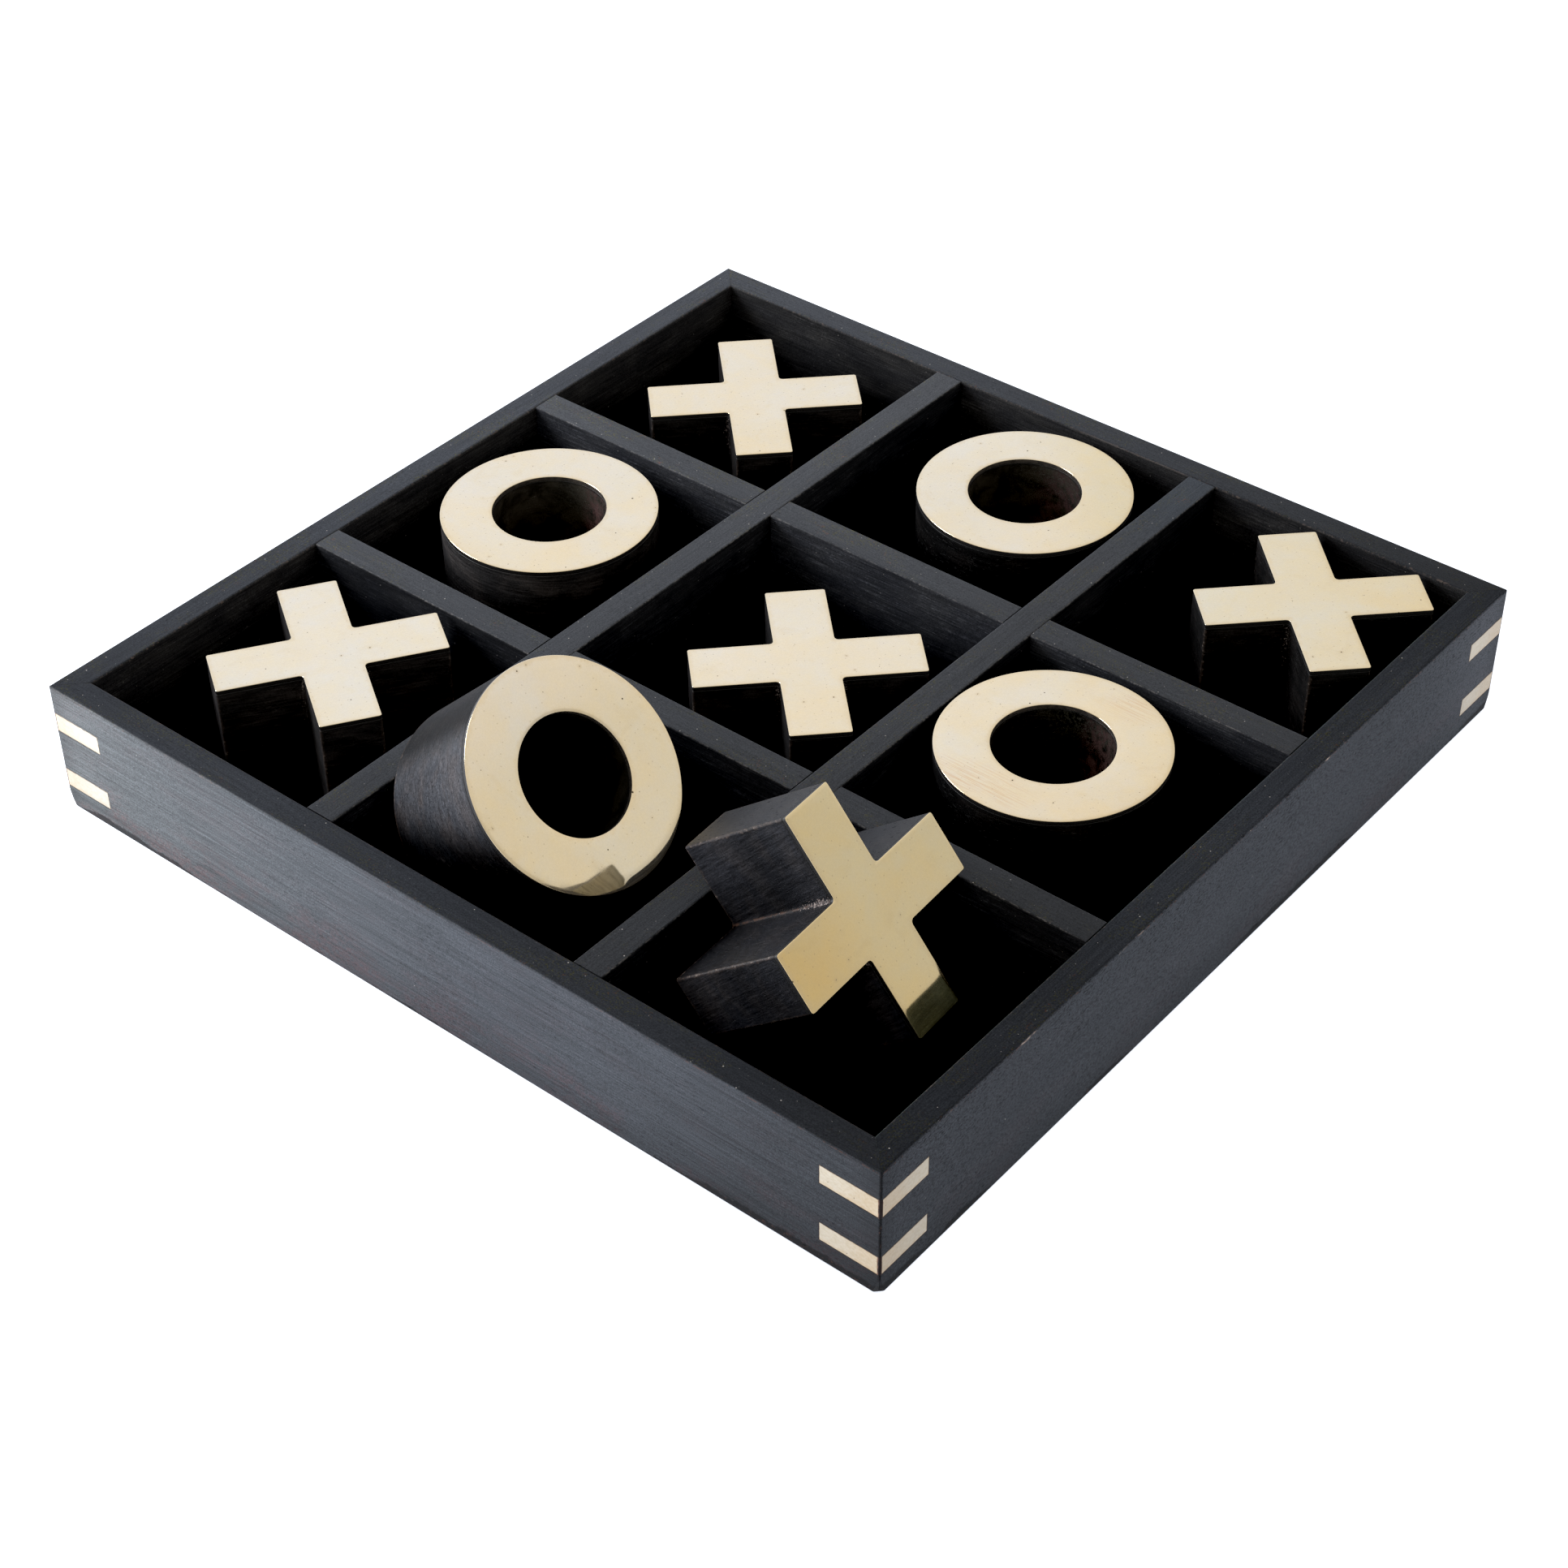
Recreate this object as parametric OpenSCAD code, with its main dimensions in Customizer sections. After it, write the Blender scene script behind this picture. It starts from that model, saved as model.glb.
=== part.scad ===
// Tic-tac-toe board: a square wooden tray of nine cells, with loose
// crosses and rings that are faced with metal plates.
// Frame: origin at the centre of the tray's underside, +Z up,
// -Y is the front rail, +X is the right rail. All sizes in millimetres.

/* [Tray] */
// Outside length and width of the square tray
tray_w = 305; // [305:1:330]
// Height of the tray from its underside to its rim
tray_h = 44.5; // [43:0.5:50]
// Thickness of the four outer rails
rail_t = 9; // [8:0.5:9.5]
// Thickness of the four dividers
divider_t = 10; // [9:0.5:10]
// Radius that the outer arrises of the rails are eased to
rail_ease_r = 0.8; // [0.4:0.1:1.2]
// Radius that the top edges of the dividers are eased to
divider_ease_r = 0.6; // [0.3:0.1:1]

/* [Joinery] */
// Thickness of the base panel, let in flush with the underside
base_t = 2; // [1.5:0.5:3]
// Width of the rebate that holds the base panel
rebate_w = 4; // [3:0.5:5]
// Depth of the stopped housings that hold the divider ends
housing_d = 2.5; // [1.5:0.5:3]
// Distance from the rim down to the top of a housing
housing_stop = 6; // [4:1:10]
// Height over which the foot of each corner is rounded off
corner_foot_h = 8; // [4:1:8]
// Radius of that rounding
corner_foot_r = 22; // [20:1:40]

/* [Corner inlays] */
// Length of an inlay strip along its rail
inlay_l = 19.2; // [12:0.2:24]
// Height of an inlay strip
inlay_h = 6.3; // [4:0.1:7]
// Depth that an inlay strip is let into its rail
inlay_d = 2; // [1:0.5:3]
// Height of the lower strips' centre line
inlay_low_z = 11; // [10.5:0.5:13]
// Height of the upper strips' centre line
inlay_high_z = 31.6; // [28:0.2:34]
// Width of wood left between a strip and the corner
inlay_arris = 0.8; // [0.6:0.1:1.2]

/* [Playing pieces] */
// Length of each bar of a cross
x_len = 69; // [64:0.2:69.2]
// Width of each bar of a cross
x_arm_w = 18.2; // [16:0.2:20]
// Radius of the outer corners of a cross
x_out_r = 0.7; // [0.3:0.1:1.5]
// Radius of the inner corners of a cross
x_in_r = 1.2; // [0.4:0.1:2.5]
// Outside diameter of a ring
o_d = 68; // [64:0.2:68.6]
// Diameter of the hole through a ring
o_hole_d = 35.6; // [30:0.2:40]
// Thickness of the metal plate on top of a piece
plate_t = 1.5; // [1:0.1:2]
// Running gap between a piece and the floor of its cell
piece_gap = 0.3; // [0.2:0.1:0.5]

/* [Leaning pieces] */
// Tilt of the leaning cross from level, in degrees
x_tilt = 51.4; // [48:0.2:52]
// Turn of the leaning cross about the vertical, in degrees
x_turn = 3.2; // [0:0.2:3.6]
// Tilt of the leaning ring from level, in degrees
o_tilt = 45.6; // [43:0.2:46]
// Turn of the leaning ring about the vertical, in degrees
o_turn = 0.4; // [-2:0.2:2]
// Gap between a leaning piece and the edge that it leans on
lean_gap = 0.35; // [0.3:0.05:0.6]

/* [Hidden] */
eps = 1;
inner_w = tray_w - 2 * rail_t;
cell = (inner_w - 2 * divider_t) / 3;
pitch = cell + divider_t;            // distance between cell centres
div_c = pitch / 2;                   // centre line of each divider
piece_h = tray_h - base_t - piece_gap;
block_h = piece_h - plate_t;
floor_z = base_t + piece_gap;        // underside of every piece
lap_z = (base_t + tray_h) / 2;       // meeting plane of the half laps
panel_w = inner_w + 2 * rebate_w;
round_fn = 96;

wood = "#2b2c30";
wood_dark = "#1b1a1b";
metal = "#e6d9b4";

// ---- shared 2-D helpers ------------------------------------------------

// Points of an arc, from angle a0 to a1 in n steps
function arc(cx, cy, r, a0, a1, n = 3) =
  [for (i = [0:n]) let (a = a0 + (a1 - a0) * i / n) [cx + r * cos(a), cy + r * sin(a)]];

// A point turned about the origin
function turned(p, a) = [p[0] * cos(a) - p[1] * sin(a), p[0] * sin(a) + p[1] * cos(a)];

// Cross-section of a rail: x from the outer face inwards, y up
function rail_profile(t, h, r) = concat(
  [[t, 0]],
  arc(r, r, r, 270, 180),
  arc(r, h - r, r, 180, 90),
  arc(t - r, h - r, r, 90, 0));

// Plan of a rail with mitred ends: the outer face on y = 0
function rail_plan(w, t, r) = concat(
  [[-w / 2 + t, t]],
  arc(-w / 2 + r, r, r, 225, 270, 2),
  arc(w / 2 - r, r, r, 270, 315, 2),
  [[w / 2 - t, t]]);

// Cross-section of a divider, centred on x = 0
function divider_profile(t, z0, z1, r) = concat(
  [[t / 2, z0], [-t / 2, z0]],
  arc(-t / 2 + r, z1 - r, r, 180, 90),
  arc(t / 2 - r, z1 - r, r, 90, 0));

// Outline of a cross with eased outer corners and filleted inner corners
function cross_outline(l, w, ro, ri) = [
  for (k = [0:3], p = concat(
    arc(l / 2 - ro, -w / 2 + ro, ro, -90, 0),
    arc(l / 2 - ro, w / 2 - ro, ro, 0, 90),
    arc(w / 2 + ri, w / 2 + ri, ri, 270, 180)))
  turned(p, 90 * k)];

// ---- tray ----------------------------------------------------------------

// Extrudes a profile along X, from x0 over length l, its x as Y and its y as Z
module along_x(x0, l) {
  translate([x0, 0, 0]) rotate([90, 0, 90]) linear_extrude(l) children();
}

// Plan of an inlay strip on y = 0, its corner end at the right
module inlay_plan(grow = 0) {
  polygon([
    [tray_w / 2 - inlay_l, -grow],
    [tray_w / 2 - inlay_arris, -grow],
    [tray_w / 2 - inlay_arris, inlay_arris],
    [tray_w / 2 - inlay_d, inlay_d],
    [tray_w / 2 - inlay_l, inlay_d]]);
}

// The pocket in the rail for a strip, open at the face and at the mitre
module inlay_pocket(zc) {
  translate([0, 0, zc - inlay_h / 2]) linear_extrude(inlay_h)
    polygon([
      [tray_w / 2 - inlay_l, -eps],
      [tray_w / 2 - inlay_arris, -eps],
      [tray_w / 2 - inlay_arris, inlay_arris - 0.001],
      [tray_w / 2 - inlay_arris + 0.001, inlay_arris],
      [tray_w / 2 - inlay_arris + 0.001, inlay_d],
      [tray_w / 2 - inlay_l, inlay_d]]);
}

// What the rounding takes off the foot of the right-hand corner
module corner_foot_cut() {
  k = corner_foot_r;
  translate([tray_w / 2, 0, 0]) rotate([0, 0, -45])
    difference() {
      translate([-4, -12, -eps]) cube([8, 24, corner_foot_h + eps]);
      translate([-k - rail_ease_r * (sqrt(2) - 1), 0, corner_foot_h])
        rotate([90, 0, 0]) cylinder(h = 26, r = k, center = true, $fn = 180);
    }
}

// One rail, drawn with its outer face on y = 0 and its length along X
module rail_body() {
  difference() {
    intersection() {
      along_x(-tray_w / 2 - eps, tray_w + 2 * eps)
        polygon(rail_profile(rail_t, tray_h, rail_ease_r));
      translate([0, 0, -eps]) linear_extrude(tray_h + 2 * eps)
        polygon(rail_plan(tray_w, rail_t, rail_ease_r));
    }
    // rebate for the base panel
    translate([-tray_w / 2, rail_t - rebate_w, -eps])
      cube([tray_w, rebate_w + eps, base_t + eps]);
    // stopped housings for the divider ends
    for (s = [-1, 1])
      translate([s * div_c - divider_t / 2, rail_t - housing_d, -eps])
        cube([divider_t, housing_d + eps, tray_h - housing_stop + eps]);
    // pockets for the inlay strips, and the rounded feet of the corners
    for (m = [0, 1]) mirror([m, 0, 0]) {
      inlay_pocket(inlay_low_z);
      inlay_pocket(inlay_high_z);
      corner_foot_cut();
    }
  }
}

// Turns a side drawn at the front to the side with index k, counted
// counter-clockwise from the front as seen from above
module to_side(k) {
  rotate([0, 0, 90 * k]) translate([0, -tray_w / 2, 0]) children();
}

module rail_front() { color(wood) to_side(0) rail_body(); }
module rail_right() { color(wood) to_side(1) rail_body(); }
module rail_back() { color(wood) to_side(2) rail_body(); }
module rail_left() { color(wood) to_side(3) rail_body(); }

// Thin panel that closes the underside
module base_panel() {
  color(wood_dark) translate([-panel_w / 2, -panel_w / 2, 0])
    cube([panel_w, panel_w, base_t]);
}

// One divider along X, centred on y = 0. upper_laps cuts its half laps
// into the top edge, otherwise they are cut into the bottom edge.
module divider_body(upper_laps) {
  l = inner_w + 2 * housing_d;
  difference() {
    along_x(-l / 2, l)
      polygon(divider_profile(divider_t, base_t, tray_h, divider_ease_r));
    // shoulders that run under the stop of each housing
    for (s = [-1, 1])
      translate([s * (inner_w / 2 + housing_d) - housing_d, -divider_t / 2 - eps, tray_h - housing_stop])
        cube([2 * housing_d, divider_t + 2 * eps, housing_stop + eps]);
    // half laps at the two crossings
    for (s = [-1, 1])
      translate([s * div_c - divider_t / 2, -divider_t / 2 - eps, upper_laps ? lap_z : base_t - eps])
        cube([divider_t, divider_t + 2 * eps,
              upper_laps ? tray_h - lap_z + eps : lap_z - base_t + eps]);
  }
}

module divider_long_left() {
  color(wood) translate([-div_c, 0, 0]) rotate([0, 0, 90]) divider_body(false);
}
module divider_long_right() {
  color(wood) translate([div_c, 0, 0]) rotate([0, 0, 90]) divider_body(false);
}
module divider_cross_front() { color(wood) translate([0, -div_c, 0]) divider_body(true); }
module divider_cross_back() { color(wood) translate([0, div_c, 0]) divider_body(true); }

// One inlay strip. side is the rail's index, right_end says which end of
// that rail it sits at, seen from outside the tray, and zc is its centre line.
module inlay(side, right_end, zc) {
  color(metal) to_side(side) mirror([right_end ? 0 : 1, 0, 0])
    translate([0, 0, zc - inlay_h / 2]) linear_extrude(inlay_h) inlay_plan();
}

module inlay_front_left_upper() { inlay(0, false, inlay_high_z); }
module inlay_front_left_lower() { inlay(0, false, inlay_low_z); }
module inlay_front_right_upper() { inlay(0, true, inlay_high_z); }
module inlay_front_right_lower() { inlay(0, true, inlay_low_z); }
module inlay_right_front_upper() { inlay(1, false, inlay_high_z); }
module inlay_right_front_lower() { inlay(1, false, inlay_low_z); }
module inlay_right_back_upper() { inlay(1, true, inlay_high_z); }
module inlay_right_back_lower() { inlay(1, true, inlay_low_z); }
module inlay_back_right_upper() { inlay(2, false, inlay_high_z); }
module inlay_back_right_lower() { inlay(2, false, inlay_low_z); }
module inlay_back_left_upper() { inlay(2, true, inlay_high_z); }
module inlay_back_left_lower() { inlay(2, true, inlay_low_z); }
module inlay_left_back_upper() { inlay(3, false, inlay_high_z); }
module inlay_left_back_lower() { inlay(3, false, inlay_low_z); }
module inlay_left_front_upper() { inlay(3, true, inlay_high_z); }
module inlay_left_front_lower() { inlay(3, true, inlay_low_z); }

// ---- playing pieces --------------------------------------------------------

// A cross or a ring, from height z0 over height h, on the origin
module cross_solid(z0, h) {
  translate([0, 0, z0]) linear_extrude(h)
    polygon(cross_outline(x_len, x_arm_w, x_out_r, x_in_r));
}
module ring_solid(z0, h) {
  translate([0, 0, z0]) difference() {
    cylinder(h = h, d = o_d, $fn = round_fn);
    translate([0, 0, -eps]) cylinder(h = h + 2 * eps, d = o_hole_d, $fn = round_fn);
  }
}

// A piece lying flat: cell column i and row j from -1 to 1, its offset
// from the cell's centre, and its turn about the vertical
module lying(i, j, off, turn) {
  translate([i * pitch + off[0], j * pitch + off[1], floor_z])
    rotate([0, 0, turn]) children();
}

// A piece leaning to +X: its low edge stands on the floor, and its
// underside rests on the top edge of the divider at x = edge_x.
// half is its half length down the slope, and wide its half width
// where it crosses that edge.
module leaning(edge_x, y, tilt, turn, half, wide) {
  z = floor_z + half * sin(tilt);
  x = edge_x + (cos(tilt) * (tray_h - z) + abs(sin(tilt) * sin(turn)) * wide + lean_gap)
    / (sin(tilt) * cos(turn));
  translate([x, y, z]) rotate([0, 0, turn]) rotate([0, tilt, 0]) children();
}

module x_block() { color(wood_dark) cross_solid(0, block_h); }
module x_plate() { color(metal) cross_solid(block_h, plate_t); }
module o_block() { color(wood_dark) ring_solid(0, block_h); }
module o_plate() { color(metal) ring_solid(block_h, plate_t); }

// Places of the flat pieces
module at_x1() { lying(-1, -1, [-2.1, 8.7], 56.7) children(); }
module at_x2() { lying(-1, 1, [6.6, -4.5], 45.1) children(); }
module at_x3() { lying(0, 0, [11.1, -5.8], 45.4) children(); }
module at_x4() { lying(1, 1, [10.8, 12.6], 45) children(); }
module at_o1() { lying(-1, 0, [-1.5, 4.4], 0) children(); }
module at_o3() { lying(0, 1, [9.1, 5.8], 0) children(); }
module at_o4() { lying(1, 0, [-9.8, 7.4], 0) children(); }
// Places of the leaning pieces
module at_x5() {
  leaning(div_c + divider_t / 2, -pitch + 7.8, x_tilt, x_turn, x_len / 2, x_arm_w / 2) children();
}
module at_o2() {
  leaning(-div_c + divider_t / 2, -pitch + 1.8, o_tilt, o_turn, o_d / 2, o_d * 0.4) children();
}

module x_block_1() { at_x1() x_block(); }
module x_plate_1() { at_x1() x_plate(); }
module x_block_2() { at_x2() x_block(); }
module x_plate_2() { at_x2() x_plate(); }
module x_block_3() { at_x3() x_block(); }
module x_plate_3() { at_x3() x_plate(); }
module x_block_4() { at_x4() x_block(); }
module x_plate_4() { at_x4() x_plate(); }
module x_block_5() { at_x5() x_block(); }
module x_plate_5() { at_x5() x_plate(); }
module o_block_1() { at_o1() o_block(); }
module o_plate_1() { at_o1() o_plate(); }
module o_block_2() { at_o2() o_block(); }
module o_plate_2() { at_o2() o_plate(); }
module o_block_3() { at_o3() o_block(); }
module o_plate_3() { at_o3() o_plate(); }
module o_block_4() { at_o4() o_block(); }
module o_plate_4() { at_o4() o_plate(); }

rail_front();
rail_right();
rail_back();
rail_left();
base_panel();
divider_long_left();
divider_long_right();
divider_cross_front();
divider_cross_back();
inlay_front_left_upper();
inlay_front_left_lower();
inlay_front_right_upper();
inlay_front_right_lower();
inlay_right_front_upper();
inlay_right_front_lower();
inlay_right_back_upper();
inlay_right_back_lower();
inlay_back_right_upper();
inlay_back_right_lower();
inlay_back_left_upper();
inlay_back_left_lower();
inlay_left_back_upper();
inlay_left_back_lower();
inlay_left_front_upper();
inlay_left_front_lower();
x_block_1();
x_plate_1();
x_block_2();
x_plate_2();
x_block_3();
x_plate_3();
x_block_4();
x_plate_4();
x_block_5();
x_plate_5();
o_block_1();
o_plate_1();
o_block_2();
o_plate_2();
o_block_3();
o_plate_3();
o_block_4();
o_plate_4();
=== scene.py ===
import math

import bpy
from mathutils import Euler, Matrix, Vector

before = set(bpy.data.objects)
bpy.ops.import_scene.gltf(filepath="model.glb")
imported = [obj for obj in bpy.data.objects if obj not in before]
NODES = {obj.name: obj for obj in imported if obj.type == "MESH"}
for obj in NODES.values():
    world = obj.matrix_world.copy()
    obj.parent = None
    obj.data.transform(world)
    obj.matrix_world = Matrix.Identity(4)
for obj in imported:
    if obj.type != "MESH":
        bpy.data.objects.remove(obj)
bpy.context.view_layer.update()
SCENE = bpy.context.scene

# ---------------------------------------------------------------- sizes, in mm
W2 = 152.5            # half the tray's side
H = 44.5              # tray height
RAIL = 9.0
DIV_C, DIV_T = 49.5, 10.0
BLOCK_H, PLATE_T = 40.7, 1.5
X_HALF, X_ARM = 34.5, 9.1
O_R, O_HOLE = 34.0, 17.8
FLOOR = 2.3
INLAY_IN = W2 - 19.2  # where a strip's inner end lies, from the middle of its face
INLAY_Z = (11.0 - 3.15, 31.6 - 3.15)   # their undersides
INLAY_H2 = 3.15


def lying(x, y, turn):
    return Vector((x, y, FLOOR)), Euler((0, 0, math.radians(turn))).to_matrix()


def leaning(edge_x, y, tilt, turn, half, wide):
    t, u = math.radians(tilt), math.radians(turn)
    z = FLOOR + half * math.sin(t)
    x = edge_x + (math.cos(t) * (H - z) + abs(math.sin(t) * math.sin(u)) * wide + 0.35) / (math.sin(t) * math.cos(u))
    return Vector((x, y, z)), Matrix.Rotation(u, 3, "Z") @ Matrix.Rotation(t, 3, "Y")


# where each piece stands: the middle of its underside, and how it is turned
PLACES = {
    "x_1": lying(-99 - 2.1, -99 + 8.7, 56.7),
    "x_2": lying(-99 + 6.6, 99 - 4.5, 45.1),
    "x_3": lying(11.1, -5.8, 45.4),
    "x_4": lying(99 + 10.8, 99 + 12.6, 45),
    "x_5": leaning(54.5, -99 + 7.8, 51.4, 3.2, X_HALF, X_ARM),
    "o_1": lying(-99 - 1.5, 4.4, 0),
    "o_2": leaning(-44.5, -99 + 1.8, 45.6, 0.4, O_R, 2 * O_R * 0.4),
    "o_3": lying(9.1, 99 + 5.8, 0),
    "o_4": lying(99 - 9.8, 7.4, 0),
}


# ---------------------------------------------------------------- node trees
class Tree:
    """Writes a material's nodes as expressions. A value is a number or a socket."""

    def __init__(self, name):
        self.mat = bpy.data.materials.new(name)
        self.mat.use_nodes = True
        self.nt = self.mat.node_tree
        self.nt.nodes.clear()
        self.out = self.nt.nodes.new("ShaderNodeOutputMaterial")
        self.bsdf = self.nt.nodes.new("ShaderNodeBsdfPrincipled")
        self.nt.links.new(self.bsdf.outputs[0], self.out.inputs["Surface"])
        self.coord = self.nt.nodes.new("ShaderNodeTexCoord")

    def put(self, socket, value):
        if isinstance(value, bpy.types.NodeSocket):
            self.nt.links.new(value, socket)
        else:
            socket.default_value = value

    def set(self, name, value):
        self.put(self.bsdf.inputs[name], value)

    def math(self, op, a, b=0.0, c=0.0, clamp=False):
        n = self.nt.nodes.new("ShaderNodeMath")
        n.operation, n.use_clamp = op, clamp
        for s, v in zip(n.inputs, (a, b, c)):
            self.put(s, v)
        return n.outputs[0]

    def add(self, *v):
        r = v[0]
        for x in v[1:]:
            r = self.math("ADD", r, x)
        return r

    def mul(self, *v):
        r = v[0]
        for x in v[1:]:
            r = self.math("MULTIPLY", r, x)
        return r

    def sub(self, a, b):
        return self.math("SUBTRACT", a, b)

    def absv(self, a):
        return self.math("ABSOLUTE", a)

    def big(self, a, b):
        return self.math("MAXIMUM", a, b)

    def small(self, a, b):
        return self.math("MINIMUM", a, b)

    def inv(self, a):
        return self.math("SUBTRACT", 1.0, a, clamp=True)

    def hyp(self, a, b):
        return self.math("SQRT", self.add(self.mul(a, a), self.mul(b, b)))

    def ramp(self, v, a, b, lo=0.0, hi=1.0, smooth=True):
        n = self.nt.nodes.new("ShaderNodeMapRange")
        n.interpolation_type = "SMOOTHSTEP" if smooth else "LINEAR"
        n.clamp = True
        for s, x in zip(("Value", "From Min", "From Max", "To Min", "To Max"), (v, a, b, lo, hi)):
            self.put(n.inputs[s], x)
        return n.outputs["Result"]

    def mix(self, fac, a, b, blend="MIX"):
        n = self.nt.nodes.new("ShaderNodeMix")
        n.data_type, n.blend_type = "RGBA", blend
        n.clamp_factor = True
        for i, v in ((0, fac), (6, a), (7, b)):
            if not isinstance(v, bpy.types.NodeSocket) and i:
                v = (*v[:3], 1.0)
            self.put(n.inputs[i], v)
        return n.outputs[2]

    def lerp(self, fac, a, b):
        n = self.nt.nodes.new("ShaderNodeMix")
        n.data_type = "FLOAT"
        for i, v in ((0, fac), (2, a), (3, b)):
            self.put(n.inputs[i], v)
        return n.outputs[0]

    def frame_of(self, loc, rot, vec=None):
        """Coordinates in mm in a frame that stands at loc (mm), turned by the matrix rot."""
        n = self.nt.nodes.new("ShaderNodeMapping")
        n.vector_type = "TEXTURE"
        n.inputs["Location"].default_value = Vector(loc) / 1000
        n.inputs["Rotation"].default_value = rot.to_euler("XYZ")
        n.inputs["Scale"].default_value = (0.001, 0.001, 0.001)
        self.nt.links.new(vec or self.coord.outputs["Object"], n.inputs["Vector"])
        return n.outputs[0]

    def stretch(self, vec, scale, shift=(0, 0, 0)):
        n = self.nt.nodes.new("ShaderNodeMapping")
        n.inputs["Scale"].default_value = scale
        n.inputs["Location"].default_value = shift
        self.nt.links.new(vec, n.inputs["Vector"])
        return n.outputs[0]

    def turn(self, vec, angles):
        n = self.nt.nodes.new("ShaderNodeMapping")
        n.inputs["Rotation"].default_value = [math.radians(a) for a in angles]
        self.nt.links.new(vec, n.inputs["Vector"])
        return n.outputs[0]

    def xyz(self, vec):
        n = self.nt.nodes.new("ShaderNodeSeparateXYZ")
        self.nt.links.new(vec, n.inputs[0])
        return n.outputs[0], n.outputs[1], n.outputs[2]

    def vec(self, x, y, z):
        n = self.nt.nodes.new("ShaderNodeCombineXYZ")
        for s, v in zip(n.inputs, (x, y, z)):
            self.put(s, v)
        return n.outputs[0]

    def noise(self, vec, scale=1.0, detail=2.0, rough=0.5, dist=0.0, colour=False):
        n = self.nt.nodes.new("ShaderNodeTexNoise")
        n.inputs["Scale"].default_value = scale
        n.inputs["Detail"].default_value = detail
        n.inputs["Roughness"].default_value = rough
        n.inputs["Distortion"].default_value = dist
        self.nt.links.new(vec, n.inputs["Vector"])
        return n.outputs[1 if colour else 0]

    def cells(self, vec, scale=1.0, jitter=1.0, flat=False):
        """Distance to the nearest of a set of scattered points, and that point's random colour."""
        n = self.nt.nodes.new("ShaderNodeTexVoronoi")
        n.voronoi_dimensions = "2D" if flat else "3D"
        n.inputs["Scale"].default_value = scale
        n.inputs["Randomness"].default_value = jitter
        self.nt.links.new(vec, n.inputs["Vector"])
        return n.outputs["Distance"], n.outputs["Color"]

    def bump(self, height, mm, strength=1.0, after=None):
        n = self.nt.nodes.new("ShaderNodeBump")
        n.inputs["Strength"].default_value = strength
        n.inputs["Distance"].default_value = mm / 1000
        self.nt.links.new(height, n.inputs["Height"])
        if after is not None:
            self.nt.links.new(after, n.inputs["Normal"])
        return n.outputs[0]

    def normal(self):
        return self.xyz(self.coord.outputs["Normal"])


def srgb(h, k=1.0):
    """A hex colour as linear RGB, times k."""
    v = [int(h[i:i + 2], 16) / 255 for i in (0, 2, 4)]
    return tuple(k * (c / 12.92 if c <= 0.04045 else ((c + 0.055) / 1.055) ** 2.4) for c in v)


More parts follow.
